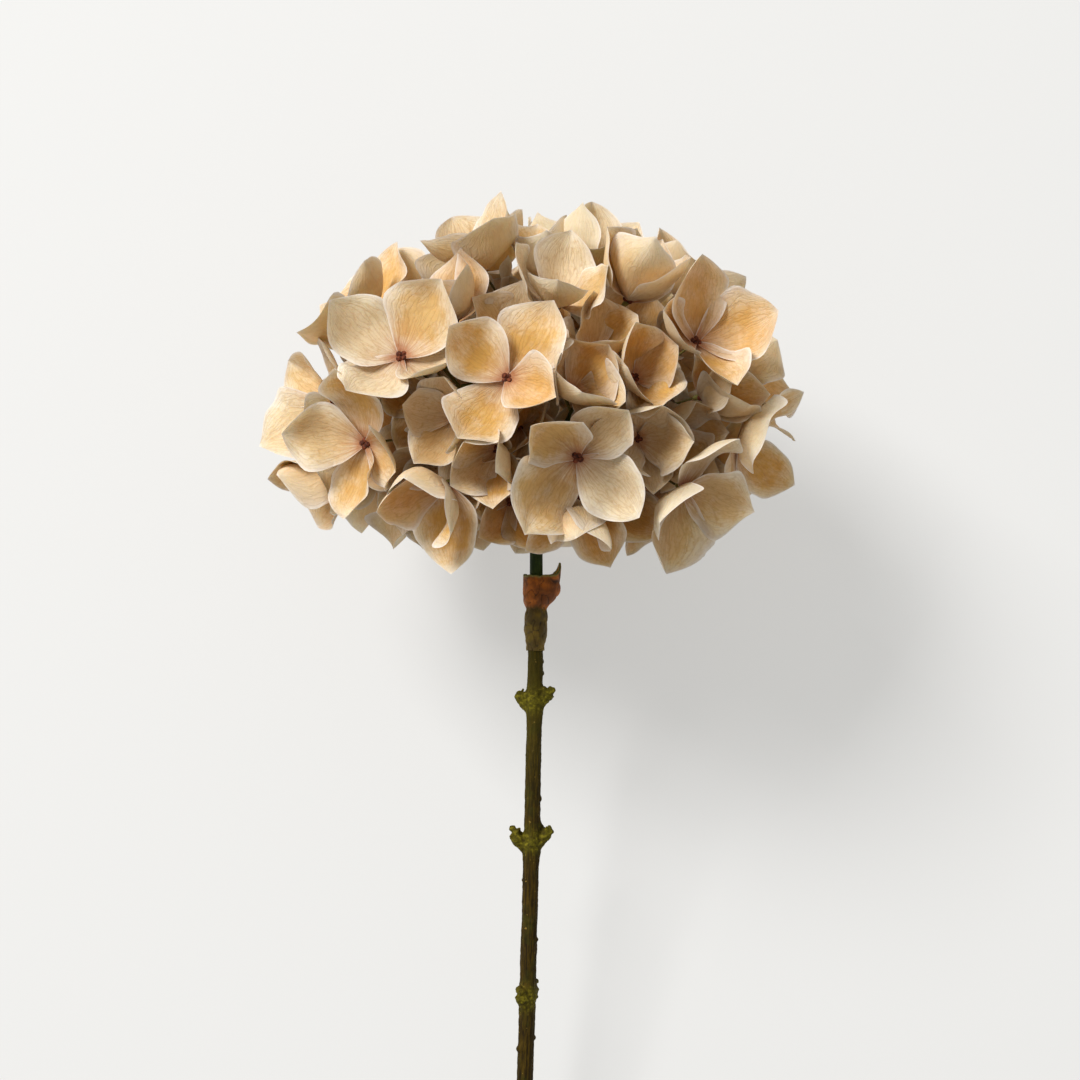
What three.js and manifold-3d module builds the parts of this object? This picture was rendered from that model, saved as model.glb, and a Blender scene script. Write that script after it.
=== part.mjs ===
// A cut hydrangea lying on a table: a mophead of four-sepalled florets on a branching
// flower stalk, a papery sheath, and a woody stem with paired leaf scars.
//
// The flower is built upright, in its own frame: the stem runs along Z, the top rim of the
// sheath is at height 0, and the side that faces up when it lies down looks along -Y.
// The last step lays it down on the face of its convex hull that is under its weight.
// Sizes are in millimetres and angles in degrees.
import * as THREE from "three";
import { mergeGeometries, mergeVertices } from "three/addons/utils/BufferGeometryUtils.js";
import { ConvexHull } from "three/addons/math/ConvexHull.js";
import Module from "manifold-3d";

const wasm = await Module();
wasm.setup();

// ---------- driving dimensions ----------

const CLEARANCE = 0.35; // gap left wherever two pieces meet

// The head
const DOME_HEIGHT = 50; // the dome's centre above the sheath's rim
const DOME_SQUASH = 0.8; // the dome's rise over its radius
const OUTER_REACH = 68; // dome centre to the eye of an outer floret
const INNER_SUNK = 10; // how much deeper a floret that fills a narrow gap lies
const FLORET_COUNT = 56;
const LOWEST_FLORET = -20; // elevation of the head's lower rim
const HIGHEST_FLORET = 85;

// A floret
const SEPAL_LENGTH = 27;
const SEPAL_WIDTH = 21.5;
const SEPAL_THICKNESS = 0.8; // along the middle; it thins to nothing at the rim
const SEPAL_BOW = 0.13; // how far a sepal bellies out, as a share of its length
const SEPAL_CUP = 0.3; // how far its edges rise, as a share of its half width
const INNER_PAIR_LIFT = 9; // the inner two sepals stand this much steeper
const INNER_PAIR_RISE = 0.9; // and grow this much higher on the eye
const CLOSED_LIFT = 74; // a sepal's lift above the floret's face in the bud
const OPENING_STEP = 4;
const FLAT_LIFT = 26; // florets that open at least this flat open before the others
const EYE_RADIUS = 2;
const SEPAL_STEPS_ALONG = 4;
const SEPAL_STEPS_ACROSS = 2;

// Branches inside the head
const STALK_RADIUS = 2.3;
const STALK_TOP = 42;
const BRANCH_RADIUS = 1.1;
const BRANCH_REACH = 30; // dome centre to the fork at a branch's end
const FORK_RADIUS = 1.5;
const PEDICEL_RADIUS = 0.55;
const PEDICEL_SPACING = 1.75; // between pedicels where they leave the fork

// The stem
const STEM_LENGTH = 300; // below the sheath's rim
const STEM_TOP = -9; // where wood gives way to the green stalk, inside the sheath
const STEM_TOP_RADIUS = 2.55;
const STEM_FOOT_RADIUS = 3.05;
const STEM_SWAY = 8.5; // how far the foot has swung to the left
const STEM_SIDES = 10;
const CUT_ANGLE = 40; // of the slanting cut across the foot
const LEAF_SCAR_LENGTH = 5.6;
const LEAF_SCAR_RADIUS = 1.55;
const LEAF_SCAR_SPREAD = 48; // from the stem's direction

// The sheath
const SHEATH_LENGTH = 25;
const SHEATH_WALL = 0.7;
const SHEATH_LOOSENESS = 0.3; // how far it stands off the stem at the rim
const SHEATH_FLARE = 3.9; // how much further at its torn point
const SHEATH_POINT = 5.2; // height of the torn point above the rim

// Weight of each finish, to find which way the flower rests, in grams per cubic centimetre
const PETAL_DENSITY = 0.8;
const WOOD_DENSITY = 0.6;

// The pairs of leaf scars: depth below the sheath's rim, turn about the stem, and size.
const SCAR_PAIRS = [
  { depth: 44, turn: -14, size: 1 },
  { depth: 91, turn: 4, size: 1.12 },
  { depth: 140, turn: 62, size: 0.62 },
  { depth: 189, turn: -20, size: 0.95 },
  { depth: 238, turn: 70, size: 0.85 },
];

// The branches: azimuth round the stalk from the front, elevation of the fork seen from the
// dome's centre, and the height at which the branch leaves the stalk.
const BRANCHES = [
  { azimuth: -30, elevation: -8, leaves: 13 },
  { azimuth: 30, elevation: -8, leaves: 9 },
  { azimuth: 90, elevation: -8, leaves: 16 },
  { azimuth: 150, elevation: -8, leaves: 12 },
  { azimuth: 210, elevation: -8, leaves: 15 },
  { azimuth: 270, elevation: -8, leaves: 10 },
  { azimuth: 0, elevation: 44, leaves: 29 },
  { azimuth: 120, elevation: 44, leaves: 32 },
  { azimuth: 240, elevation: 44, leaves: 27 },
];

// The florets that face the front, chosen one by one. Azimuth and elevation place the eye on
// the dome, and sunk is how far it lies below an outer floret. Yaw turns the face to the right,
// nod turns it down, spin turns the first sepal clockwise from the crown, and open is the lift
// at which a sepal stops.
const FRONT_FLORETS = [
  { azimuth: -7, elevation: 9, sunk: -3, yaw: 0, nod: -2, spin: 32, open: 18 },
  { azimuth: -37, elevation: 17, sunk: -3, yaw: 36, nod: -4, spin: 34, open: 22 },
  { azimuth: 10, elevation: -14, sunk: -3, yaw: -4, nod: 0, spin: 38, open: 20 },
  { azimuth: 48, elevation: 23, sunk: -3, yaw: -26, nod: 0, spin: -8, open: 24 },
  { azimuth: 45, elevation: -24, sunk: -1, yaw: -8, nod: 6, spin: 0, open: 24 },
  { azimuth: -77, elevation: 6, sunk: 0, yaw: 12, nod: 0, spin: 40, open: 22 },
  { azimuth: -50, elevation: -9, sunk: -1, yaw: 14, nod: 0, spin: 12, open: 26 },
  { azimuth: -72, elevation: 38, sunk: -1, yaw: 0, nod: 0, spin: -15, open: 24 },
  { azimuth: -31, elevation: 36, sunk: 7, yaw: 10, nod: 0, spin: 0, open: 36 },
  { azimuth: -11, elevation: -13, sunk: 7, yaw: -6, nod: 8, spin: 70, open: 44 },
  { azimuth: 10, elevation: 7, sunk: 7, yaw: 4, nod: 0, spin: 30, open: 34 },
  { azimuth: -25, elevation: -1, sunk: 11, yaw: 0, nod: 0, spin: 20, open: 44 },
  { azimuth: 31, elevation: 13, sunk: 9, yaw: -14, nod: 0, spin: -30, open: 36 },
  { azimuth: 60, elevation: 8, sunk: 8, yaw: -22, nod: 0, spin: 15, open: 36 },
  { azimuth: 32, elevation: -9, sunk: 10, yaw: -14, nod: 0, spin: -10, open: 42 },
  { azimuth: 69, elevation: -8, sunk: -1, yaw: -10, nod: 4, spin: 30, open: 26 },
  { azimuth: -27, elevation: -24, sunk: 2, yaw: 0, nod: 4, spin: 0, open: 28 },
  { azimuth: 13, elevation: -32, sunk: 7, yaw: 0, nod: 8, spin: 50, open: 34 },
  { azimuth: -76, elevation: -15, sunk: 3, yaw: 0, nod: 6, spin: 40, open: 30 },
  { azimuth: 88, elevation: 14, sunk: -2, yaw: 0, nod: 0, spin: 20, open: 26 },
  { azimuth: 8, elevation: 43, sunk: 7, yaw: 0, nod: 0, spin: 12, open: 40 },
  { azimuth: 35, elevation: 42, sunk: 2, yaw: 0, nod: 0, spin: 40, open: 34 },
  { azimuth: -36, elevation: 64, sunk: 3, yaw: 0, nod: 0, spin: 28, open: 34 },
  { azimuth: 4, elevation: 73, sunk: 8, yaw: 0, nod: -8, spin: 0, open: 42 },
  { azimuth: 45, elevation: 68, sunk: 4, yaw: 0, nod: 0, spin: 5, open: 34 },
  { azimuth: 78, elevation: 46, sunk: 0, yaw: 0, nod: 0, spin: 25, open: 28 },
  { azimuth: -130, elevation: 72, sunk: 3, yaw: 0, nod: 0, spin: 40, open: 36 },
  { azimuth: 150, elevation: 75, sunk: 3, yaw: 0, nod: 0, spin: 0, open: 40 },
  { azimuth: -57, elevation: 14, sunk: 12, yaw: 0, nod: 0, spin: 55, open: 44 },
  { azimuth: 21, elevation: 26, sunk: 16, yaw: 0, nod: 0, spin: 70, open: 46 },
  { azimuth: 63, elevation: 32, sunk: 14, yaw: 0, nod: 0, spin: 60, open: 46 },
  { azimuth: -12, elevation: 31, sunk: 17, yaw: 0, nod: 0, spin: 20, open: 44 },
  { azimuth: 21, elevation: -1, sunk: 22, yaw: 0, nod: 0, spin: 60, open: 40 },
  { azimuth: -41, elevation: 4, sunk: 18, yaw: 10, nod: 0, spin: 20, open: 40 },
  { azimuth: 50, elevation: -7, sunk: 16, yaw: -10, nod: 0, spin: 70, open: 40 },
];

// ---------- small helpers ----------

const radians = THREE.MathUtils.degToRad;
const UP = new THREE.Vector3(0, 0, 1);
const GOLDEN_ANGLE = 137.508;

const finish = (color, roughness) =>
  new THREE.MeshStandardMaterial({ color, roughness, metalness: 0 });
const sepalFinish = finish(0xe3c59a, 0.75);
const greenFinish = finish(0x3d4f1e, 0.6);
const barkFinish = finish(0x4a4216, 0.7);
const sheathFinish = finish(0x8a5a1c, 0.65);

// The direction at an azimuth from the front and an elevation above the dome's centre.
function direction(azimuth, elevation) {
  const [a, e] = [radians(azimuth), radians(elevation)];
  return new THREE.Vector3(Math.sin(a) * Math.cos(e), -Math.cos(a) * Math.cos(e), Math.sin(e));
}

// The point that far from the dome's centre, on the squashed dome.
function onDome(azimuth, elevation, reach) {
  const p = direction(azimuth, elevation).multiplyScalar(reach);
  return new THREE.Vector3(p.x, p.y, DOME_HEIGHT + p.z * DOME_SQUASH);
}

// A closed three.js geometry as a manifold-3d solid.
function solidOf(geometry, matrix = new THREE.Matrix4()) {
  const bare = new THREE.BufferGeometry();
  bare.setAttribute("position", geometry.getAttribute("position").clone());
  bare.setIndex(geometry.getIndex());
  const merged = mergeVertices(bare.applyMatrix4(matrix), 1e-4);
  return new wasm.Manifold(
    new wasm.Mesh({
      numProp: 3,
      vertProperties: new Float32Array(merged.getAttribute("position").array),
      triVerts: new Uint32Array(merged.getIndex().array),
    }),
  );
}

function geometryOf(solid) {
  const { vertProperties, triVerts } = solid.getMesh();
  const geometry = new THREE.BufferGeometry();
  geometry.setAttribute("position", new THREE.BufferAttribute(vertProperties, 3));
  geometry.setIndex(new THREE.BufferAttribute(triVerts, 1));
  geometry.computeVertexNormals();
  return geometry;
}

function piece(name, geometry, material) {
  const mesh = new THREE.Mesh(geometry, material);
  mesh.name = name;
  return mesh;
}

// Moves every point of a geometry by a function of its place.
function reshape(geometry, move) {
  const places = geometry.getAttribute("position");
  const p = new THREE.Vector3();
  for (let i = 0; i < places.count; i++) {
    move(p.fromBufferAttribute(places, i));
    places.setXYZ(i, p.x, p.y, p.z);
  }
  return geometry;
}

// A round bar from one point to another, as a solid.
function barBetween(start, end, startRadius, endRadius, sides) {
  const along = end.clone().sub(start);
  const bar = new THREE.CylinderGeometry(endRadius, startRadius, along.length(), sides);
  const turn = new THREE.Quaternion().setFromUnitVectors(
    new THREE.Vector3(0, 1, 0),
    along.clone().normalize(),
  );
  const middle = start.clone().add(end).multiplyScalar(0.5);
  return solidOf(bar, new THREE.Matrix4().compose(middle, turn, new THREE.Vector3(1, 1, 1)));
}

function ballAt(centre, radius) {
  const ball = new THREE.OctahedronGeometry(radius * 1.15, 0);
  return solidOf(mergeVertices(ball.deleteAttribute("normal").deleteAttribute("uv")),
    new THREE.Matrix4().setPosition(centre));
}

const joined = (solids) => solids.reduce((whole, next) => whole.add(next));

// ---------- where the florets sit ----------

// Adds florets, one at a time, in the widest gap that is left on the dome. Wide gaps take an
// outer floret that opens flat, and narrow ones an inner floret that stays cupped.
function fillGaps(chosen, count) {
  const candidates = [];
  const [low, high] = [Math.sin(radians(LOWEST_FLORET)), Math.sin(radians(HIGHEST_FLORET))];
  const tries = 900;
  for (let i = 0; i < tries; i++) {
    const elevation = THREE.MathUtils.radToDeg(Math.asin(low + ((high - low) * i) / (tries - 1)));
    candidates.push({ azimuth: (i * GOLDEN_ANGLE) % 360, elevation });
  }
  const florets = [...chosen];
  const wideGap = 34;
  while (florets.length < count) {
    const gapAt = (c) =>
      Math.min(...florets.map((f) =>
        THREE.MathUtils.radToDeg(
          direction(c.azimuth, c.elevation).angleTo(direction(f.azimuth, f.elevation)))));
    const gaps = candidates.map(gapAt);
    const widest = gaps.indexOf(Math.max(...gaps));
    const outer = gaps[widest] > wideGap;
    florets.push({
      ...candidates[widest],
      sunk: outer ? 0 : INNER_SUNK,
      yaw: 0,
      nod: 0,
      spin: (florets.length * GOLDEN_ANGLE) % 90,
      open: outer ? 26 : 38,
    });
  }
  return florets;
}

// The place and turn of a floret: its own Z is the way it faces, and its Y points to the crown.
function placeFloret(row) {
  const reach = OUTER_REACH - row.sunk;
  const eye = onDome(row.azimuth, row.elevation, reach);
  const outward = direction(row.azimuth, row.elevation);
  outward.z /= DOME_SQUASH;
  outward.normalize();
  const side = new THREE.Vector3().crossVectors(UP, outward).normalize();
  const facing = outward.applyAxisAngle(side, radians(row.nod)).applyAxisAngle(UP, radians(row.yaw));
  side.applyAxisAngle(UP, radians(row.yaw));
  const crown = new THREE.Vector3().crossVectors(facing, side);
  const matrix = new THREE.Matrix4().makeBasis(side, crown, facing).setPosition(eye);
  return { ...row, reach, eye, matrix };
}

// ---------- a floret ----------

// Half the width of a sepal at a share u of its length: a narrow claw, then a broad oval
// that ends in a small point.
function halfWidth(u) {
  const oval = Math.max(Math.sin(Math.PI * u ** 1.5), 0) ** 0.8;
  return (SEPAL_WIDTH / 2) * Math.max(oval, 0.06);
}

// A flat blank for a sepal, u along and v across, as two layers that meet at the rim. The
// third coordinate is -1 or 1 on the two faces and fades to nothing at the rim.
function sepalBlank() {
  const upper = new THREE.PlaneGeometry(2, 1, SEPAL_STEPS_ACROSS, SEPAL_STEPS_ALONG);
  const lower = upper.clone();
  lower.setIndex([...upper.getIndex().array].reverse());
  const bulge = (side) => (p) =>
    p.set(p.x, p.y + 0.5, side * (1 - p.x ** 2) * Math.min(1, 4 * (0.25 - p.y ** 2)));
  return mergeGeometries([reshape(upper, bulge(1)), reshape(lower, bulge(-1))]);
}

// One sepal in the floret's own frame. lift is the angle of the line from its foot to its tip
// above the floret's face.
function sepalGeometry({ turn, length, rise }, lift) {
  const [t, l] = [radians(turn), radians(lift)];
  const radial = new THREE.Vector3(Math.sin(t), Math.cos(t), 0);
  const along = radial.clone().multiplyScalar(Math.cos(l)).addScaledVector(UP, Math.sin(l));
  const inward = radial.clone().multiplyScalar(-Math.sin(l)).addScaledVector(UP, Math.cos(l));
  const across = new THREE.Vector3().crossVectors(along, inward);
  return reshape(sepalBlank(), (p) => {
    const [v, u, side] = [p.x, p.y, p.z];
    const half = halfWidth(u) * (length / SEPAL_LENGTH);
    const belly = SEPAL_CUP * half * v * v - SEPAL_BOW * length * Math.sin(Math.PI * u);
    p.set(0, 0, rise)
      .addScaledVector(along, u * length)
      .addScaledVector(across, v * half)
      .addScaledVector(inward, belly + (side * SEPAL_THICKNESS) / 2);
  });
}

// The four sepals of a floret, closed, with what each still has to do. The deeper a floret
// sits in the head, the smaller it is.
function budSepals(floret, index) {
  return [0, 1, 2, 3].map((k) => {
    const inner = k % 2;
    const size = Math.min(1, floret.reach / OUTER_REACH);
    const vigour = size * (1 + 0.08 * Math.sin(index * 2.3 + k * 1.7));
    return {
      turn: floret.spin + 90 * k + 5 * Math.sin(index * 1.9 + k * 2.9),
      rise: inner ? INNER_PAIR_RISE : 0,
      length: SEPAL_LENGTH * vigour * (inner ? 0.95 : 1),
      lift: CLOSED_LIFT,
      stopAt: floret.open + (inner ? INNER_PAIR_LIFT : 0) + 6 * Math.sin(index * 3.1 + k * 4.7),
      growing: true,
    };
  });
}

function sepalSolid(floret, sepal, lift) {
  return solidOf(sepalGeometry(sepal, lift), floret.matrix);
}

// True if two boxes come within the clearance of each other.
function near(a, b) {
  return [0, 1, 2].every(
    (i) => a.min[i] < b.max[i] + CLEARANCE && b.min[i] < a.max[i] + CLEARANCE);
}

// Opens the flat florets together, a step at a time, and then the cupped ones. A sepal stops
// where it is wanted, or where one step more would bring it within the clearance of another
// floret or a branch.
function openFlorets(florets, stalk) {
  const green = { solid: stalk, box: stalk.boundingBox(), owner: null };
  const eyes = florets.map((floret) => {
    const solid = ballAt(floret.eye, EYE_RADIUS);
    return { solid, box: solid.boundingBox(), owner: floret };
  });
  const leaves = [];
  for (const floret of florets)
    for (const sepal of floret.sepals) {
      const solid = sepalSolid(floret, sepal, sepal.lift);
      leaves.push({ solid, box: solid.boundingBox(), owner: floret, sepal });
    }
  const isClear = (solid, owner) => {
    const box = solid.boundingBox();
    return [green, ...eyes, ...leaves].every((other) =>
      other.owner === owner || !near(box, other.box) ||
      solid.minGap(other.solid, CLEARANCE * 2) >= CLEARANCE);
  };
  const openOneStep = (leaf) => {
    const { sepal, owner } = leaf;
    const lift = Math.max(sepal.lift - OPENING_STEP, sepal.stopAt);
    const solid = sepalSolid(owner, sepal, lift);
    sepal.growing = isClear(solid, owner);
    if (!sepal.growing) return;
    sepal.lift = lift;
    sepal.growing = lift > sepal.stopAt;
    Object.assign(leaf, { solid, box: solid.boundingBox() });
  };
  const crowded = leaves.filter((leaf) => !isClear(leaf.solid, leaf.owner));
  const flat = leaves.filter((leaf) => leaf.owner.open <= FLAT_LIFT);
  for (const batch of [flat, leaves])
    for (let lift = CLOSED_LIFT; lift > 0; lift -= OPENING_STEP)
      batch.filter((leaf) => leaf.sepal.growing).forEach(openOneStep);
  return crowded.length;
}

// A floret as one solid in its own frame: four sepals that meet in the eye.
function floretGeometry(floret) {
  const sepals = floret.sepals.map((sepal) => solidOf(sepalGeometry(sepal, sepal.lift)));
  return geometryOf(joined([ballAt(new THREE.Vector3(), EYE_RADIUS), ...sepals]));
}

// ---------- branches ----------

// The side branches and the one that carries on from the stalk's top. Each runs from the
// middle of the stalk to its fork.
function branchPlan() {
  const sideways = BRANCHES.map((row) => ({
    ...row,
    start: new THREE.Vector3(0, 0, row.leaves),
    fork: onDome(row.azimuth, row.elevation, BRANCH_REACH),
  }));
  const leader = {
    azimuth: 0,
    elevation: 90,
    start: new THREE.Vector3(0, 0, STALK_TOP - BRANCH_RADIUS),
    fork: onDome(0, 90, BRANCH_REACH),
  };
  return [...sideways, leader];
}

// A branch with a pedicel to each of its florets. The pedicels leave the fork in a ring, in
// the order of their florets round the branch, so that none crosses another.
function branchSolid(branch) {
  const along = direction(branch.azimuth, branch.elevation);
  const first = new THREE.Vector3().crossVectors(along, new THREE.Vector3(0.3, 1, 0.2)).normalize();
  const second = new THREE.Vector3().crossVectors(along, first);
  const bearing = (floret) => {
    const away = floret.eye.clone().sub(branch.fork);
    return Math.atan2(away.dot(second), away.dot(first));
  };
  const ordered = branch.florets.sort((a, b) => bearing(a) - bearing(b));
  const ring = Math.max((ordered.length * PEDICEL_SPACING) / (2 * Math.PI), FORK_RADIUS * 0.8);
  const pedicels = ordered.map((floret) => {
    const turn = bearing(floret);
    const root = branch.fork.clone()
      .addScaledVector(first, Math.cos(turn) * ring * 0.7)
      .addScaledVector(second, Math.sin(turn) * ring * 0.7);
    const end = floret.eye.clone()
      .addScaledVector(root.clone().sub(floret.eye).normalize(), EYE_RADIUS + CLEARANCE);
    return barBetween(root, end, PEDICEL_RADIUS, PEDICEL_RADIUS * 0.9, 5);
  });
  return joined([
    barBetween(branch.start, branch.fork, BRANCH_RADIUS, BRANCH_RADIUS * 0.85, 6),
    ballAt(branch.fork, Math.max(FORK_RADIUS, ring)),
    ...pedicels,
  ]);
}

// ---------- stem, stalk and sheath ----------

// How far the stem's middle has swung sideways at a height: none in the head, most at the foot.
const sway = (height) => -STEM_SWAY * (Math.max(-height, 0) / STEM_LENGTH) ** 1.4;

const stemRadius = (height) =>
  THREE.MathUtils.mapLinear(height, 0, -STEM_LENGTH, STEM_TOP_RADIUS, STEM_FOOT_RADIUS);

// A stub where a leaf broke away, with the ring of bark that swells round it.
function leafScar(depth, turn, size) {
  const base = new THREE.Vector3(sway(-depth), 0, -depth);
  const outward = direction(90 + turn, 90 - LEAF_SCAR_SPREAD);
  const tip = base.clone()
    .addScaledVector(outward, stemRadius(-depth) + LEAF_SCAR_LENGTH * size);
  const radius = LEAF_SCAR_RADIUS * (0.6 + 0.4 * size);
  return barBetween(base, tip, radius * 1.25, radius, 6);
}

function woodyStem() {
  const swelling = (height) =>
    SCAR_PAIRS.reduce((sum, pair) => {
      const away = (height + pair.depth - 1) / 3.2;
      return sum + 0.75 * pair.size * Math.exp(-away * away);
    }, 0);
  const heights = [STEM_TOP];
  for (const pair of SCAR_PAIRS)
    for (const step of [6, 2, -2, -6]) heights.push(-pair.depth + step);
  heights.push(-STEM_LENGTH);
  const profile = heights.map((h) => new THREE.Vector2(stemRadius(h) + swelling(h), h));
  profile.unshift(new THREE.Vector2(0, STEM_TOP));
  profile.push(new THREE.Vector2(0, -STEM_LENGTH));
  const lathe = new THREE.LatheGeometry(profile.reverse(), STEM_SIDES).rotateX(Math.PI / 2);
  const bark = solidOf(reshape(lathe, (p) => p.setX(p.x + sway(p.z))));
  const scars = SCAR_PAIRS.flatMap(({ depth, turn, size }) => [
    leafScar(depth - 0.8, turn, size),
    leafScar(depth + 0.8, turn + 180, size),
  ]);
  const blockSize = STEM_FOOT_RADIUS * 8;
  const block = new THREE.BoxGeometry(blockSize, blockSize, blockSize);
  const slant = new THREE.Matrix4().makeRotationX(radians(-CUT_ANGLE));
  slant.premultiply(new THREE.Matrix4().makeTranslation(sway(-STEM_LENGTH), 0, -STEM_LENGTH));
  slant.multiply(new THREE.Matrix4().makeTranslation(0, 0, -blockSize / 2 + STEM_FOOT_RADIUS));
  return joined([bark, ...scars]).subtract(solidOf(block, slant));
}

function mainStalk() {
  const foot = new THREE.Vector3(0, 0, STEM_TOP + CLEARANCE);
  const top = new THREE.Vector3(0, 0, STALK_TOP);
  return barBetween(foot, top, STALK_RADIUS, STALK_RADIUS * 0.9, 10);
}

// The sheath is a loose sleeve. It hugs the stem at its foot, stands off at the rim, and on
// the right the rim flares out and rises to a torn point.
function paperySheath() {
  const sides = 14;
  const inside = stemRadius(-SHEATH_LENGTH) / Math.cos(Math.PI / sides) + CLEARANCE;
  const levels = [0, 0.35, 0.7, 0.85, 1];
  const wall = (share, extra) =>
    new THREE.Vector2(inside + extra + SHEATH_LOOSENESS * share * share * (extra ? 1 : 0.6),
      -SHEATH_LENGTH * (1 - share));
  const outside = levels.map((share) => wall(share, SHEATH_WALL));
  const bore = levels.map((share) => wall(share, 0)).reverse();
  const profile = [...outside, ...bore, outside[0].clone()];
  const sleeve = new THREE.LatheGeometry(profile, sides).rotateX(Math.PI / 2);
  return reshape(sleeve, (p) => {
    const share = 1 + p.z / SHEATH_LENGTH;
    const point = Math.max(Math.cos(Math.atan2(p.y, p.x)), 0) ** 3;
    const flared = 1 + (SHEATH_FLARE / Math.hypot(p.x, p.y)) * point * share ** 4;
    const rise = SHEATH_POINT * point ** 3 * share ** 8;
    p.set(p.x * flared + sway(p.z), p.y * flared, p.z + rise);
  });
}

// ---------- the whole flower ----------

function buildFlower() {
  const flower = new THREE.Group();
  const florets = fillGaps(FRONT_FLORETS, FLORET_COUNT).map(placeFloret);
  florets.forEach((floret, i) => (floret.sepals = budSepals(floret, i)));

  const branches = branchPlan();
  const closeness = (floret, branch) =>
    direction(floret.azimuth, floret.elevation).dot(direction(branch.azimuth, branch.elevation));
  for (const branch of branches) branch.florets = [];
  for (const floret of florets)
    branches.reduce((best, branch) =>
      closeness(floret, branch) > closeness(floret, best) ? branch : best).florets.push(floret);
  const stalk = joined([mainStalk(), ...branches.map(branchSolid)]);

  const crowded = openFlorets(florets, stalk);
  if (crowded) console.warn(`${crowded} sepals start closer than the clearance`);

  florets.forEach((floret, i) => {
    const name = `floret_${String(i + 1).padStart(2, "0")}`;
    const mesh = piece(name, floretGeometry(floret), sepalFinish);
    mesh.applyMatrix4(floret.matrix);
    flower.add(mesh);
  });
  flower.add(piece("flower_stalk", geometryOf(stalk), greenFinish));
  flower.add(piece("papery_sheath", paperySheath(), sheathFinish));
  flower.add(piece("woody_stem", geometryOf(woodyStem()), barkFinish));
  return flower;
}

// ---------- laying it down ----------

// The volume and the centre of volume of a closed mesh, in world space.
function volumeAndCentre(mesh) {
  const geometry = mesh.geometry.index ? mesh.geometry.toNonIndexed() : mesh.geometry;
  const places = geometry.getAttribute("position");
  const corner = (i) => new THREE.Vector3().fromBufferAttribute(places, i).applyMatrix4(mesh.matrixWorld);
  const centre = new THREE.Vector3();
  let volume = 0;
  for (let i = 0; i < places.count; i += 3) {
    const [a, b, c] = [corner(i), corner(i + 1), corner(i + 2)];
    const share = a.dot(b.clone().cross(c)) / 6;
    volume += share;
    centre.addScaledVector(a.add(b).add(c), share / 4);
  }
  return { volume, centre: centre.divideScalar(volume) };
}

function centreOfMass(flower) {
  const sum = new THREE.Vector3();
  let mass = 0;
  flower.traverse((mesh) => {
    if (!mesh.isMesh) return;
    const { volume, centre } = volumeAndCentre(mesh);
    const weight = volume * (mesh.material === sepalFinish ? PETAL_DENSITY : WOOD_DENSITY);
    sum.addScaledVector(centre, weight);
    mass += weight;
  });
  return sum.divideScalar(mass);
}

// True if the line from a point along a face's normal meets the face.
function faceIsUnder(face, point) {
  const ends = [face.edge, face.edge.next, face.edge.prev].map((edge) => edge.head().point);
  const triangle = new THREE.Triangle(ends[2], ends[0], ends[1]);
  const foot = point.clone().addScaledVector(face.normal, -face.distanceToPoint(point));
  return triangle.containsPoint(foot);
}

// Lays the flower down, back under and stem towards -Y, with the middle of its box's floor
// at the origin.
function layDown(flower) {
  flower.updateMatrixWorld(true);
  const hull = new ConvexHull().setFromObject(flower);
  const centre = centreOfMass(flower);
  const back = new THREE.Vector3(0, 1, 0);
  const stable = hull.faces.filter((face) => faceIsUnder(face, centre));
  const resting = stable.reduce((best, face) =>
    face.normal.dot(back) > best.normal.dot(back) ? face : best);
  const turn = new THREE.Quaternion().setFromUnitVectors(
    resting.normal.clone(), new THREE.Vector3(0, 0, -1));
  const stem = UP.clone().applyQuaternion(turn);
  const square = new THREE.Quaternion().setFromAxisAngle(
    UP, Math.PI / 2 - Math.atan2(stem.y, stem.x));
  const lying = new THREE.Group();
  lying.add(flower);
  lying.quaternion.copy(square.multiply(turn));
  const box = new THREE.Box3().setFromObject(lying, true);
  const middle = box.getCenter(new THREE.Vector3());
  lying.position.set(-middle.x, -middle.y, -box.min.z);
  return lying;
}

const hydrangea = new THREE.Group();
hydrangea.add(layDown(buildFlower()));

export default hydrangea;
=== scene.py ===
# %% [markdown]
# # A cut hydrangea, laid on a pale table
#
# The flower is a mophead: a dome of florets on a branching green stalk, a papery sheath, and a
# woody stem. Each floret has four sepals, the showy leaves that pass for petals, round a tiny
# bud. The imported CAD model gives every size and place. This script measures it and remakes
# each piece with the fine shape and the finish of the real one.

# %% Load the frame
import math
import random

import bmesh
import bpy
import numpy as np
from mathutils import Matrix, Vector, noise


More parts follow.
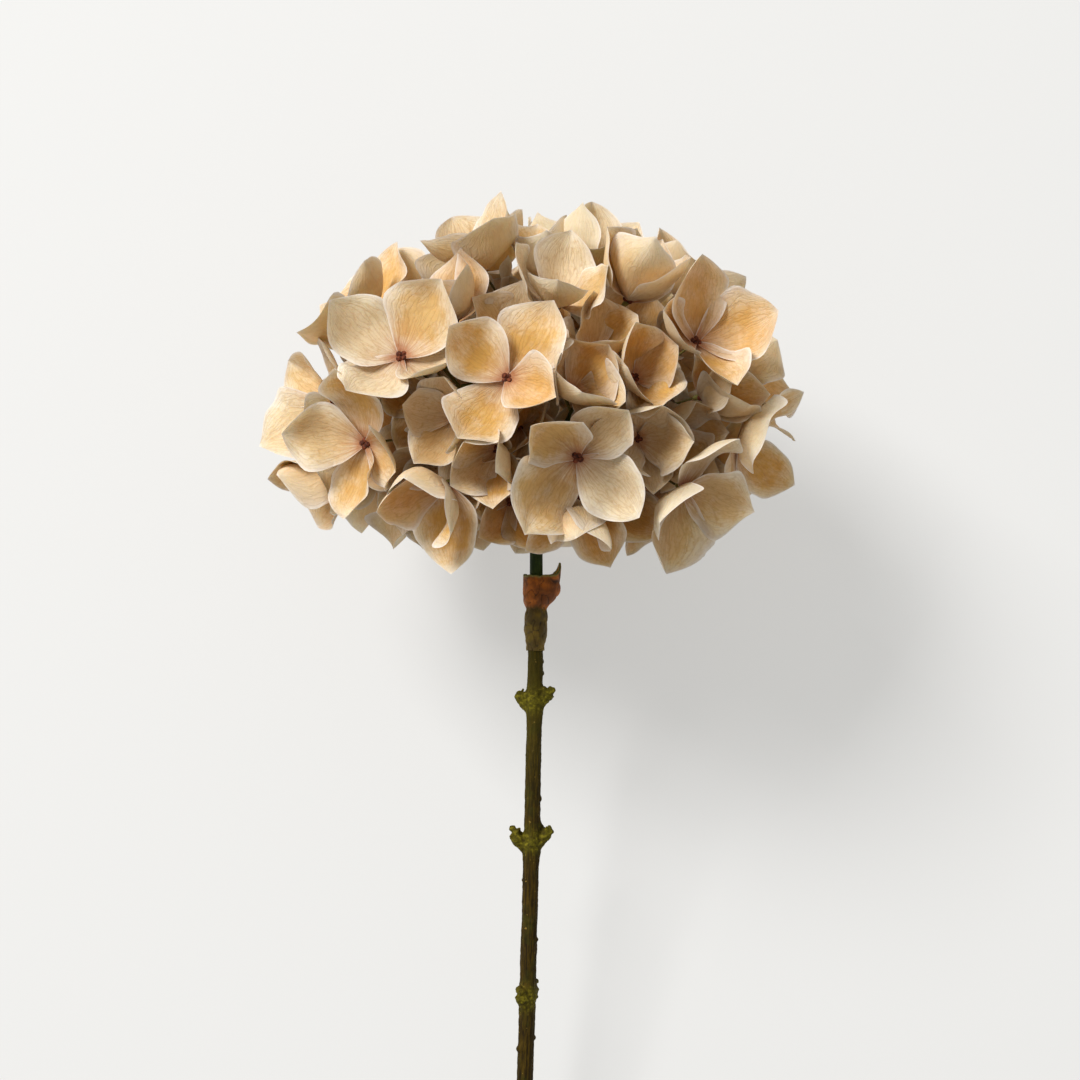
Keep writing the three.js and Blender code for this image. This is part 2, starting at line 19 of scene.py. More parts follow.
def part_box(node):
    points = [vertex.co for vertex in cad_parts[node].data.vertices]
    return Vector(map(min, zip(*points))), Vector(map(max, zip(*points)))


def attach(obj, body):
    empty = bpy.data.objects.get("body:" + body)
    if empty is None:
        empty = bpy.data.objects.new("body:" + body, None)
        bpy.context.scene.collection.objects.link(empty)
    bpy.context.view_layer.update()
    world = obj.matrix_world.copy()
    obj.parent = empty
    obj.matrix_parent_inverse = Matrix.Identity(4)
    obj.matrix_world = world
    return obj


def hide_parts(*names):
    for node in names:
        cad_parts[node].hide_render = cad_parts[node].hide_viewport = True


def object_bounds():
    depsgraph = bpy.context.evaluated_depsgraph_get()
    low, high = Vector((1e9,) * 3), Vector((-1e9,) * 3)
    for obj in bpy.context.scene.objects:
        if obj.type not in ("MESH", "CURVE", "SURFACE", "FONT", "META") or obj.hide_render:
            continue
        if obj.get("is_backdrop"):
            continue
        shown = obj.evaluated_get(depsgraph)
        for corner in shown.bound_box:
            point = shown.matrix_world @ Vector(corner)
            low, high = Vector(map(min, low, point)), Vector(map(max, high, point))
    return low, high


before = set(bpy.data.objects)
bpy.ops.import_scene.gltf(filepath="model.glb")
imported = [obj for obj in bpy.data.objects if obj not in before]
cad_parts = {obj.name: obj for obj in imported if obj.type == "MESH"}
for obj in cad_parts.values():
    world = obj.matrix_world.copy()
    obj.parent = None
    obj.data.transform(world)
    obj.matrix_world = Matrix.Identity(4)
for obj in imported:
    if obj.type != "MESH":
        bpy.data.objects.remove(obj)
cad_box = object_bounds()
florets = sorted(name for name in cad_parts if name.startswith("floret"))
print(f"{len(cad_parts)} nodes, {len(florets)} of them florets")

# %% [markdown]
# ## Where things are
#
# The flower lies with its stem sloping down to the table, so straight lines on it run along no
# world axis. It is easier to shape a piece in the flower's own frame: `right` across, `front`
# out of the side that faces up, and `up` from the cut end to the head. The top end of the
# woody stem is a flat disc inside the sheath. Its plane gives `up`, and its middle gives the
# line that everything else is measured from.

# %% Measure the flower's own frame
MM = 0.001


def cad_points(node):
    """Every corner of a CAD node once, as rows of x, y, z."""
    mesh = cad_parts[node].data
    flat = np.empty(len(mesh.vertices) * 3)
    mesh.vertices.foreach_get("co", flat)
    return np.unique(flat.reshape(-1, 3).round(7), axis=0)


stem_points = cad_points("woody_stem")
sheath_points = cad_points("papery_sheath")
sheath_low, sheath_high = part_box("papery_sheath")
inside_sheath = sheath_low.y + 0.3 * (sheath_high.y - sheath_low.y)
disc = stem_points[stem_points[:, 1] > inside_sheath]
disc_middle = disc.mean(axis=0)
across_disc = np.linalg.svd(disc - disc_middle)[2][2]
up = Vector(across_disc) * math.copysign(1, across_disc[1])
front = Vector((1, 0, 0)).cross(up).normalized()
right = up.cross(front)
rim_height = ((sheath_points - disc_middle) @ np.array(up))[sheath_points[:, 0] < 0].max()
origin = Vector(disc_middle) + up * rim_height
to_row = Matrix((right, -front, up)).transposed()


def row_place(x, y, z):
    """A point x to the right, y behind and z above the sheath's rim, in the row's frame."""
    return origin + to_row @ Vector((x, y, z))


def own_place(point):
    """The same point back in the flower's own frame."""
    return to_row.transposed() @ (Vector(point) - origin)


foot = min((own_place(p) for p in stem_points), key=lambda p: p.z)
print(f"slope {math.degrees(math.asin(up.z)):.1f} degrees, foot at {foot.z / MM:.0f} mm")

# %% [markdown]
# ## Reading a floret
#
# In the CAD model a floret's eye is an octahedron, and a sepal is a thin lens whose tip is its
# farthest point. So each floret can be read back from its corners alone. Corners that lie
# opposite each other across the octahedron share its middle, and the one behind it shows which
# way the floret faces. The farthest corner in each quarter turn is a sepal's tip.

# %% Read eyes, faces and tips
EYE_CORNER = 2.3 * MM


def read_floret(node):
    points = cad_points(node)
    spread = np.linalg.norm(points[:, None] - points[None], axis=2)
    first, second = np.where(np.triu(abs(spread - 2 * EYE_CORNER) < 2e-6))
    middles = (points[first] + points[second]) / 2
    votes = (np.linalg.norm(middles[:, None] - middles[None], axis=2) < 5e-6).sum(axis=1)
    eye = Vector(middles[votes.argmax()])
    reach = np.linalg.norm(points - np.array(eye), axis=1)
    far = points[reach > 0.7 * reach.max()].mean(axis=0)
    corners = points[abs(reach - EYE_CORNER) < 2e-6]
    behind = Vector(min(corners, key=lambda c: (Vector(c) - eye).dot(Vector(far) - eye)))
    facing = (eye - behind).normalized()
    start = facing.orthogonal().normalized()
    turned = facing.cross(start)
    around = np.arctan2((points - np.array(eye)) @ turned, (points - np.array(eye)) @ start)
    lead = around[reach.argmax()]
    tips = []
    for quarter in range(4):
        off = (around - lead - quarter * math.pi / 2 + math.pi) % (2 * math.pi) - math.pi
        tips.append(Vector(points[np.where(abs(off) < 0.7, reach, 0).argmax()]))
    return {"eye": eye, "facing": facing, "tips": tips}


measured = {node: read_floret(node) for node in florets}
lengths = [(tip - f["eye"]).length / MM for f in measured.values() for tip in f["tips"]]
print(f"sepals {min(lengths):.1f} to {max(lengths):.1f} mm long")

# %% [markdown]
# ## A notation for finishes
#
# A finish is arithmetic on places: how far along a sepal, how near its edge, how strong the
# mottling here. Python can say that directly once a shader socket is wrapped in a class that
# turns `+`, `-`, `*` and `**` into Math nodes. Every other node comes from one method. Colours
# go through Mix nodes, because a Math node would turn them grey.

# %% Wires and finishes
class Wire:
    """A shader socket that can be used in a sum."""

    def __init__(self, finish, socket):
        self.finish = finish
        self.socket = socket

    def math(self, operation, *others):
        return self.finish.node("ShaderNodeMath", [self, *others], operation=operation)

    def __add__(self, other):
        return self.math("ADD", other)

    def __sub__(self, other):
        return self.math("SUBTRACT", other)

    def __rsub__(self, other):
        return self.finish.node("ShaderNodeMath", [other, self], operation="SUBTRACT")

    def __mul__(self, other):
        return self.math("MULTIPLY", other)

    def __pow__(self, other):
        return self.math("POWER", other)

    __radd__ = __add__
    __rmul__ = __mul__

    def ramp(self, low, high):
        """0 below low and 1 above high, with a smooth step between."""
        return self.finish.node(
            "ShaderNodeMapRange", {"Value": self, "From Min": low, "From Max": high},
            interpolation_type="SMOOTHSTEP")

    def between(self, low, high):
        """Itself, kept between two values."""
        return self.math("MAXIMUM", low).math("MINIMUM", high)


class Finish:
    """A material and the means to build it."""

    def __init__(self, name, **constants):
        self.material = bpy.data.materials.new(name)
        self.material.use_nodes = True
        self.tree = self.material.node_tree
        self.shader = self.tree.nodes["Principled BSDF"]
        for socket, value in constants.items():
            self.shader.inputs[socket.replace("_", " ")].default_value = value

    def node(self, kind, values, output=0, **settings):
        made = self.tree.nodes.new(kind)
        for setting, value in settings.items():
            setattr(made, setting, value)
        pairs = values.items() if isinstance(values, dict) else enumerate(values)
        for key, value in pairs:
            if isinstance(value, Wire):
                self.tree.links.new(value.socket, made.inputs[key])
            else:
                made.inputs[key].default_value = value
        return Wire(self, made.outputs[output])

    def attribute(self, name):
        return self.node("ShaderNodeAttribute", {}, output="Fac", attribute_name=name)

    def place(self, scale=(1, 1, 1)):
        """Object coordinates in millimetres, stretched by scale."""
        here = self.node("ShaderNodeTexCoord", {}, output="Object")
        stretch = tuple(1000 * s for s in scale)
        return self.node("ShaderNodeVectorMath", [here, stretch], operation="MULTIPLY")

    def join(self, x, y, z=0.0):
        return self.node("ShaderNodeCombineXYZ", [x, y, z])

    def noise(self, place, size, detail=2.0, roughness=0.5):
        """Soft noise from 0 to 1 whose lumps are about that many units across."""
        return self.node(
            "ShaderNodeTexNoise",
            {"Vector": place, "Scale": 1 / size, "Detail": detail, "Roughness": roughness})

    def blend(self, factor, below, above):
        """A colour that goes from below to above as the factor goes from 0 to 1."""
        return self.node(
            "ShaderNodeMix", {0: factor, 6: below, 7: above}, output=2, data_type="RGBA")

    def darken(self, colour, factor):
        """A colour multiplied by a plain number from the surface."""
        grey = self.join(factor, factor, factor)
        return self.node(
            "ShaderNodeMix", {0: 1.0, 6: colour, 7: grey}, output=2,
            data_type="RGBA", blend_type="MULTIPLY")

    def wear(self, colour=None, roughness=None, height=None, bump=0.5, depth=0.1 * MM):
        """Connects what changes over the surface. Height is relief in units of depth."""
        for socket, wire in (("Base Color", colour), ("Roughness", roughness)):
            if wire is not None:
                self.tree.links.new(wire.socket, self.shader.inputs[socket])
        if height is not None:
            normal = self.node(
                "ShaderNodeBump", {"Strength": bump, "Distance": depth, "Height": height})
            self.tree.links.new(normal.socket, self.shader.inputs["Normal"])


def paint(red, green, blue):
    """A colour picked on a screen, from 0 to 255, as the shader's linear values."""
    return tuple(((c / 255 + 0.055) / 1.055) ** 2.4 for c in (red, green, blue)) + (1.0,)


print("a mid grey is", round(paint(128, 128, 128)[0], 2), "in linear light")

# %% [markdown]
# ## The blank of a sepal
#
# A sepal is a sheet about a quarter of a millimetre thick that thins to nothing at its rim. One
# flat blank serves all of them. It is two grids laid face to face and welded round the rim, so
# it is closed, and the finish can still tell its face from its back. Every vertex remembers
# where it is on the sepal, because the veins and stains follow that and not the world. The rim
# is creased and marked sharp, so that a subdivision modifier rounds the sheet but keeps the
# margin crisp.

# %% Make the blank once
STEPS_ALONG = 10
STEPS_ACROSS = 6
SEPAL_THICKNESS = 0.26 * MM
TIP_CROWDING = 1.25  # above 1, the steps get shorter towards the tip
RIM_CREASE = 0.7


def make_blank():
    blank = bmesh.new()
    places = {n: blank.verts.layers.float.new(n) for n in ("along", "across")}
    back = blank.faces.layers.float.new("underside")
    bmesh.ops.create_grid(blank, x_segments=STEPS_ACROSS, y_segments=STEPS_ALONG, size=1)
    lower = bmesh.ops.duplicate(blank, geom=blank.faces[:])["geom"]
    lower_faces = [g for g in lower if isinstance(g, bmesh.types.BMFace)]
    bmesh.ops.reverse_faces(blank, faces=lower_faces)
    for face in lower_faces:
        face[back] = 1.0
    below = {g for g in lower if isinstance(g, bmesh.types.BMVert)}
    for vert in blank.verts:
        u, v = 1 - ((1 - vert.co.y) / 2) ** TIP_CROWDING, vert.co.x
        rim = min(1, 10 * (1 - abs(v))) * min(1, 10 * (1 - u))
        vert[places["along"]], vert[places["across"]] = u, v
        vert.co.z = (-0.5 if vert in below else 0.5) * rim
    bmesh.ops.remove_doubles(blank, verts=blank.verts, dist=1e-5)
    crease = blank.edges.layers.float.new("crease_edge")
    for edge in blank.edges:
        if len({face[back] for face in edge.link_faces}) == 2:
            edge.smooth, edge[crease] = False, RIM_CREASE
    corner = blank.verts.layers.float.new("crease_vert")
    for vert in blank.verts:
        vert[corner] = 1.0 if vert[places["along"]] > 0.999 else 0.0
    return blank


blank_mesh = bpy.data.meshes.new("sepal_blank")
make_blank().to_mesh(blank_mesh)
print(f"the blank has {len(blank_mesh.polygons)} faces")

# %% [markdown]
# ## Bending a blank into a sepal
#
# A real sepal hangs on a line from the eye to its tip. It bellies outwards from that line, its
# sides cup inwards, and its margin is ruffled. Each of these is a simple function of how far
# along and how far across a point is, so they can be added up. Each sepal has its own amounts,
# from a seeded random number, because no two are alike. Where one reaches the table, it lies
# flat on it.

# %% A sepal's own amounts
SEPAL_BOW = 0.14  # how far it bellies out, over its length
SEPAL_CUP = 0.35  # how far its sides rise, over half its width
WIDTH_SHARE = 0.43  # half the width over the length
HIDDEN_GROWTH = 0.07  # added to it deep in the head, where a sepal fills more room
INNER_PAIR_RISE = 0.9 * MM
CLAW_WIDTH = 0.07  # half the width where the sepal grows out of the eye, over the widest
BUCKLE = 2.1 * MM  # the height of the broad bumps over a sepal
CRINKLE = 0.5 * MM  # and of the fine ones
DOME_RADIUS = 86 * MM  # of the dome from which a point's depth in the head is measured
DOME_RISE = 62 * MM
DOME_CENTRE = 45 * MM


def draw_habit(chance):
    """How one sepal differs from the next."""
    return {
        "bow": SEPAL_BOW * chance.uniform(0.8, 1.6),
        "cup": SEPAL_CUP * chance.uniform(0.3, 2.0),
        "fold": chance.uniform(0.05, 0.34),  # how sharply it is folded along its middle
        "lean": chance.uniform(-0.12, 0.12),  # how far its middle line swings aside
        "twist": chance.uniform(-0.42, 0.42),
        "plump": chance.uniform(0.86, 1.1),
        "point": chance.uniform(0.0, 0.7),  # 0 for a round end, more for a pointed one
        "ruffle": chance.uniform(0.12, 0.28),
        "roll": chance.uniform(-0.3, 1.3),  # how far its margins roll back
        "waves": [chance.uniform(0.9, 2.4) for _ in range(2)],  # along each margin
        "phases": [chance.uniform(0, 2 * math.pi) for _ in range(2)],
        "curl": chance.uniform(-0.06, 0.16),  # how far its tip curls back
        "seed": Vector([chance.uniform(0, 100) for _ in range(3)]),
    }


one = draw_habit(random.Random(0))
print(f"a first sepal's bow {one['bow']:.2f}, cup {one['cup']:.2f}, ruffle {one['ruffle']:.2f}")

# %% Width and rise of a sepal
def outline(u, point):
    """Half the width at a share u of the length, as a share of the widest."""
    oval = max(math.sin(math.pi * u ** 1.13), 0) ** (0.68 + point * u * u)
    return max(oval, CLAW_WIDTH if u < 0.5 else 0.0)


def depth_in_head(point):
    """0 at the outside of the head and 1 well inside it."""
    p = own_place(point) - Vector((0, 0, DOME_CENTRE))
    share = Vector((p.x / DOME_RADIUS, p.y / DOME_RADIUS, p.z / DOME_RISE)).length
    return min(max((0.98 - share) / 0.45, 0), 1)


def margin_noise(u, side, habit, waves):
    """A slow random wave along one margin."""
    return noise.noise(habit["seed"] + Vector((0, waves * u, 5 * side)))


def half_width(u, v, length, hidden, habit):
    """Half the width at a share u of the length, with lobes and nicks towards the margin."""
    side = 0 if v < 0 else 1
    half = (WIDTH_SHARE * habit["plump"] + HIDDEN_GROWTH * hidden) * length
    half *= outline(u, habit["point"])
    lobes, nicks = margin_noise(u, side, habit, 3), margin_noise(u, side, habit, 13)
    return half * (1 + (0.2 * lobes + 0.1 * nicks) * abs(v) ** 2)


def rise_at(u, v, half, length, habit):
    """How far a point stands off the line from the eye to the tip, towards the floret's face."""
    side = 0 if v < 0 else 1
    body = math.sin(math.pi * u)
    edge = abs(v) ** 2.2 * body ** 0.6
    wave = math.sin(2 * math.pi * habit["waves"][side] * u + habit["phases"][side])
    rise = half * (habit["cup"] * v * v + habit["fold"] * math.sqrt(v * v + 0.004))
    rise -= habit["bow"] * length * math.sin(math.pi * u ** 0.85)
    rise += habit["twist"] * half * v * body
    rise += habit["ruffle"] * half * edge * wave
    rise += 0.05 * half * edge * margin_noise(u, side, habit, 13)
    rise -= habit["roll"] * half * max(abs(v) - 0.55, 0) ** 2
    rise -= habit["curl"] * length * max(u - 0.6, 0) * (1 - u) * 5
    rise += BUCKLE * body * noise.noise(habit["seed"] + Vector((2.2 * v, 3 * u, 0)))
    rise += CRINKLE * body * noise.noise(habit["seed"] + Vector((5 * v, 8 * u, 9)))
    return rise


print("widths along a sepal:", [round(outline(u / 4, 0.3), 2) for u in range(5)])

# %% Shape one sepal
def shape_sepal(floret, tip, inner, chance):
    """One sepal as a bmesh in the row's frame."""
    sepal = bmesh.new()
    sepal.from_mesh(blank_mesh)
    along_layer = sepal.verts.layers.float.get("along")
    root = floret["eye"] + floret["facing"] * (INNER_PAIR_RISE if inner else 0)
    length = (tip - root).length
    along = (tip - root).normalized()
    inward = (floret["facing"] - along * floret["facing"].dot(along)).normalized()
    across = along.cross(inward)
    habit = draw_habit(chance)
    hidden = depth_in_head(floret["eye"] + floret["facing"] * 10 * MM)
    for vert in sepal.verts:
        u, v, layer = vert[along_layer], vert.co.x, vert.co.z
        half = half_width(u, v, length, hidden, habit)
        rise = rise_at(u, v, half, length, habit) + layer * SEPAL_THICKNESS
        drift = habit["lean"] * length * math.sin(math.pi * u) * 0.4
        vert.co = root + along * (u * length) + across * (v * half + drift) + inward * rise
        vert.co.z = max(vert.co.z, (0.5 + layer) * SEPAL_THICKNESS)
    bmesh.ops.remove_doubles(sepal, verts=sepal.verts, dist=1e-6)
    return sepal


first = measured[florets[0]]
tried = shape_sepal(first, first["tips"][0], True, random.Random(0))
print(f"a first sepal has an area of {sum(f.calc_area() for f in tried.faces) / 2 / MM ** 2:.0f} mm2")
tried.free()

# %% [markdown]
# ## The eye
#
# In the middle of a floret sits a bud that never opens: a red-brown knob of four lobes. Four
# small coarse spheres, set in a ring so that they run into each other, make the knob. A short
# green collar reaches back from it to the nearest pedicel.

# %% Shape one eye
LOBE_RADIUS = 1.3 * MM
LOBE_RING = 1.05 * MM
stalk_points = cad_points("flower_stalk")
for floret in measured.values():
    reach = np.linalg.norm(stalk_points - np.array(floret["eye"]), axis=1)
    floret["pedicel"] = Vector(stalk_points[reach.argsort()[:5]].mean(axis=0))


def shape_eye(floret):
    """The bud and its collar as a bmesh in the row's frame."""
    eye = bmesh.new()
    bud = eye.verts.layers.float.new("bud")
    turn = floret["facing"].to_track_quat("Z", "Y").to_matrix().to_4x4()
    place = Matrix.Translation(floret["eye"]) @ turn
    for k in range(4):
        around = math.pi / 4 + k * math.pi / 2
        aside = Vector((math.cos(around), math.sin(around), 0)) * LOBE_RING
        lobe = bmesh.ops.create_icosphere(
            eye, subdivisions=1, radius=LOBE_RADIUS,
            matrix=place @ Matrix.Translation(aside + Vector((0, 0, 1.1 * MM))))["verts"]
        for vert in lobe:
            vert[bud] = 1.0
    back = floret["pedicel"] - floret["eye"]
    middle = floret["eye"] + back * 0.5 - back.normalized() * 0.2 * MM
    aim = (-back).to_track_quat("Z", "Y").to_matrix().to_4x4()
    collar = bmesh.ops.create_cone(
        eye, cap_ends=True, segments=10, radius1=0.55 * MM,
        radius2=1.5 * MM if back.length < 5 * MM else 0.7 * MM,
        depth=back.length + 1.2 * MM, matrix=Matrix.Translation(middle) @ aim)["verts"]
    for vert in collar:
        vert[bud] = 0.5
    return eye


collars = [(f["pedicel"] - f["eye"]).length / MM for f in measured.values()]
print(f"collars {min(collars):.1f} to {max(collars):.1f} mm long")

# %% [markdown]
# ## Putting a floret together
#
# The four sepals and the eye grew as one, so they are one piece. `add_piece` turns a bmesh into
# an object that stays at the origin, rides on the flower's only body, and hides the CAD nodes
# that it stands for. The sepals also get a UV map in which the front and the back of each sepal
# have a tile of their own, so the finish can be baked into it without a seam across a sepal.

# %% Build every floret
def add_piece(name, shape, finish, slot, *nodes):
    mesh = bpy.data.meshes.new(name)
    shape.to_mesh(mesh)
    shape.free()
    mesh.shade_smooth()
    mesh.materials.append(finish.material)
    piece = bpy.data.objects.new(name, mesh)
    bpy.context.scene.collection.objects.link(piece)
    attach(piece, "root")
    if nodes:
        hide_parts(*nodes)
    return piece


def merge(parts):
    """Several bmeshes as one. Their layers go by name."""
    whole = bmesh.new()
    for part in parts:
        mesh = bpy.data.meshes.new("part")
        part.to_mesh(mesh)
        part.free()
        whole.from_mesh(mesh)
        bpy.data.meshes.remove(mesh)
    return whole


def tile_sepals(shape):
    """Gives the front and the back of each sepal a tile in the bake's map, the eye a strip."""
    along, across, tile, bud = (
        shape.verts.layers.float.get(n) for n in ("along", "across", "tile", "bud"))
    back = shape.faces.layers.float.get("underside")
    baked = shape.loops.layers.uv.new("OFBake")
    for face in shape.faces:
        if face.verts[0][bud] > 0:
            for loop in face.loops:
                nearby = loop.vert.co * 60
                loop[baked].uv = (nearby.x % 1 * 0.9 + 0.05, 0.95 + 0.03 * math.sin(nearby.y * 9))
            continue
        for loop in face.loops:
            column = round(loop.vert[tile])
            loop[baked].uv = (
                (column + 0.5 + 0.46 * loop.vert[across]) / 4,
                0.02 + 0.42 * loop.vert[along] + 0.46 * face[back])


def build_floret(name, floret, chance, finish, *nodes):
    parts = []
    mood = chance.uniform(0, 1)
    lifts = [(tip - floret["eye"]).normalized().dot(floret["facing"]) for tip in floret["tips"]]
    inner = 0 if lifts[0] + lifts[2] > lifts[1] + lifts[3] else 1
    for k, tip in enumerate(floret["tips"]):
        sepal = shape_sepal(floret, tip, k % 2 == inner, chance)
        tone = sepal.verts.layers.float.new("tone")
        tile = sepal.verts.layers.float.new("tile")
        # deep: how far inside the head a point is, which the finish turns into painted shade
        deep = sepal.verts.layers.float.new("deep")
        own = min(max(mood + chance.uniform(-0.25, 0.25), 0), 1)
        for vert in sepal.verts:
            vert[tone], vert[tile], vert[deep] = own, k, depth_in_head(vert.co)
        parts.append(sepal)
    shape = merge(parts + [shape_eye(floret)])
    tile_sepals(shape)
    piece = add_piece(name, shape, finish, "sepals", *nodes)
    smooth = piece.modifiers.new("smooth", "SUBSURF")
    smooth.levels = smooth.render_levels = 1
    smooth.uv_smooth = "NONE"
    return piece


# %% [markdown]
# ## The sepals' finish
#
# Cream deepens to ochre in soft patches, with a pale margin and a red-brown stain that runs out
# of the eye along the veins. The veins fan out from the claw and meet again at the tip, so on
# the blank they are lines of equal `across`, wandering a little. The back is paler. Deeper in
# the head the colour turns browner and darker: painted shade.

# %% Sepal colours
CREAM = paint(238, 214, 182)
PALE_CREAM = paint(238, 228, 206)
PEACH = paint(226, 174, 120)
OCHRE = paint(214, 165, 84)
DRY_OCHRE = paint(190, 148, 84)
VEIN = paint(170, 124, 70)
MARGIN = paint(240, 225, 202)
HEM = paint(248, 240, 226)
CLAW = paint(176, 108, 56)
STAIN = paint(158, 78, 48)
BACK = paint(234, 217, 186)
SHADED = paint(172, 122, 58)
print("cream is", [round(c, 2) for c in CREAM[:3]], "in linear light")

# %% What the finish knows about a point of a sepal
class SepalSurface:
    """The measures and patterns that the colours and the relief of a sepal are mixed by."""

    def __init__(self, finish):
        self.along, self.across = finish.attribute("along"), finish.attribute("across")
        self.under, self.bud = finish.attribute("underside"), finish.attribute("bud")
        self.tone, self.deep = finish.attribute("tone"), finish.attribute("deep")
        self.place = finish.place()
        self.off = self.across.math("ABSOLUTE")
        self.mottle = finish.noise(self.place, 1.3, 4.0, 0.68)
        self.patches = finish.noise(self.place, 7.0, 4.0, 0.62) + (self.tone - 0.5) * 0.2
        ragged = (finish.noise(self.place, 2.2, 3.0) - 0.5) * 0.3
        end = (self.along + ragged * 0.4).ramp(0.86, 1.02)
        self.rim = (self.off + ragged).ramp(0.66, 1.05).math("MAXIMUM", end)
        self.hem = (self.off + ragged * 0.3).ramp(0.9, 1.0).math(
            "MAXIMUM", self.along.ramp(0.97, 1.0))
        self.add_veins(finish)

    def add_veins(self, finish):
        """A web that fans out from the claw, and soft streaks between its threads."""
        wander = finish.noise(self.place, 4.0, 3.0) - 0.5
        bend = self.along * 3.2 - self.off * 1.2
        fan = finish.join(self.across * 10 + wander * 2.2, bend, self.tone * 50)
        web = finish.node(
            "ShaderNodeTexVoronoi", {"Vector": fan, "Scale": 1.0, "Randomness": 0.9},
            output="Distance", feature="DISTANCE_TO_EDGE")
        self.veins = 1 - web.ramp(0.0, 0.12)
        lines = finish.join(self.across * 18 + wander * 2, self.along * 2.0, self.tone * 40)
        self.streaks = finish.noise(lines, 1.0, 4.0)


# %% Lay the colours on
def sepal_colour(finish, at):
    """Cream, then ochre in patches, then veins, margin, claw, stain and painted shade over it."""
    middle = at.along.ramp(0.02, 0.35) * (1 - at.along.ramp(0.6, 0.98)) * (1 - at.off.ramp(0.3, 0.9))
    ripe = (at.patches + middle * 0.34 + at.mottle * 0.22).ramp(0.5, 1.02)
    colour = finish.blend(ripe, CREAM, OCHRE)
    colour = finish.blend(at.tone.ramp(0.35, 0.95) * 0.62, colour, PALE_CREAM)
    colour = finish.blend(at.tone.ramp(0.45, 0.0) * 0.4, colour, PEACH)
    colour = finish.blend(at.mottle.ramp(0.48, 0.7) * 0.3, colour, DRY_OCHRE)
    threads = (at.veins * 0.24 + at.streaks.ramp(0.5, 0.75) * 0.2) * (1 - at.rim * 0.6)
    colour = finish.blend(threads * (1 - at.under * 0.4), colour, VEIN)
    colour = finish.blend(at.rim * 0.48, colour, MARGIN)
    claw = (1 - at.along.ramp(0.02, 0.44)) * (0.2 + at.streaks.ramp(0.3, 0.7) * 0.8)
    colour = finish.blend(claw * 0.7, colour, CLAW)
    stain = (1 - at.along.ramp(0.04, 0.17)) * (0.5 + at.mottle * 0.6)
    colour = finish.blend(stain.between(0.0, 1.0) * 0.8, colour, STAIN)
    colour = finish.blend(at.under * 0.42, colour, BACK)
    colour = finish.blend(at.hem * 0.8, colour, HEM)
    # painted shade: the deeper in the head, the browner and then darker the sepal
    colour = finish.blend(at.deep * 0.4, colour, SHADED)
    return finish.darken(colour, 1 - at.deep * 0.22)


def bud_colour(finish, at):
    """Red-brown lobes on a green collar."""
    lobes = finish.noise(at.place, 0.8, 3.0)
    brown = finish.blend(lobes.ramp(0.35, 0.7), paint(62, 24, 14), paint(124, 62, 34))
    return finish.blend(at.bud.ramp(0.6, 0.9), paint(126, 118, 58), brown)


# %% Sepal finish
def sepal_finish():
    finish = Finish(
        "sepal", Specular_IOR_Level=0.24, Sheen_Weight=0.04, Subsurface_Weight=0.22,
        Subsurface_Radius=(1.0, 0.6, 0.3), Subsurface_Scale=1.6 * MM)
    at = SepalSurface(finish)
    colour = finish.blend(at.bud.ramp(0.2, 0.4), sepal_colour(finish, at), bud_colour(finish, at))
    relief = at.mottle * 0.45 + at.veins * 0.4 * (at.under * 2 - 1) + at.streaks * 0.3
    rough = 0.6 + at.mottle * 0.2 - at.rim * 0.06
    finish.wear(colour, rough, relief, bump=0.55, depth=0.35 * MM)
    return finish


sepal_look = sepal_finish()
print("the sepals' finish has", len(sepal_look.tree.nodes), "nodes")
built = [
    build_floret(f"{node}_sepals", measured[node], random.Random(700 + i), sepal_look, node)
    for i, node in enumerate(florets)]
print(len(built), "florets,", sum(len(p.data.polygons) for p in built), "faces")

# %% [markdown]
# ## Small florets in the gaps
#
# Under the showy florets, a real mophead has smaller ones that never grew out, so no light
# shows through the head. The CAD model leaves them out. They go where the outer florets leave
# the widest gaps, as seen from the middle of the head: try many directions, take the one
# farthest from any sepal, put a small floret there, and look again.

# %% Fill the gaps
HEAD_MIDDLE = Vector((0, 0, 50 * MM))
SMALL_DEPTH = 0.74  # of the way from there to the outer florets
WIDEST_GAP = math.radians(4.9)
MOST_SMALL = 90
DIRECTIONS = 900
SPIRAL_TURN = 2.4  # close to the golden angle, so the directions are spread evenly


def seen_from_middle(point):
    return (own_place(point) - HEAD_MIDDLE).normalized()


def small_floret(direction, chance):
    """A small floret facing outwards, some way inside the nearest outer ones."""
    eyes = sorted(
        (own_place(f["eye"]) - HEAD_MIDDLE for f in measured.values()),
        key=lambda e: -e.normalized().dot(direction))[:4]
    reach = sum(e.length for e in eyes) / len(eyes)
    eye = HEAD_MIDDLE + direction * reach * SMALL_DEPTH * chance.uniform(0.94, 1.04)
    shift = Vector([chance.uniform(-0.3, 0.3) for _ in range(3)])
    facing = (direction + shift).normalized()
    spin = chance.uniform(0, math.pi / 2)
    side = facing.orthogonal().normalized()
    tips = []
    for k in range(4):
        turn = spin + k * math.pi / 2 + chance.uniform(-0.12, 0.12)
        lift = math.radians(chance.uniform(18, 50))
        outwards = side * math.cos(turn) + facing.cross(side) * math.sin(turn)
        length = chance.uniform(16, 22) * MM
        tips.append(eye + (outwards * math.cos(lift) + facing * math.sin(lift)) * length)
    root = HEAD_MIDDLE + (eye - HEAD_MIDDLE) * 0.5
    row_root = np.array(row_place(*root))
    pedicel = Vector(stalk_points[np.linalg.norm(stalk_points - row_root, axis=1).argmin()])
    turned = (to_row @ facing).normalized()
    return {
        "eye": row_place(*eye), "facing": turned, "tips": [row_place(*t) for t in tips],
        "pedicel": pedicel}


def sepal_directions(floret):
    return [
        seen_from_middle(floret["eye"].lerp(tip, share))
        for tip in floret["tips"] for share in (0.1, 0.5, 0.9)]


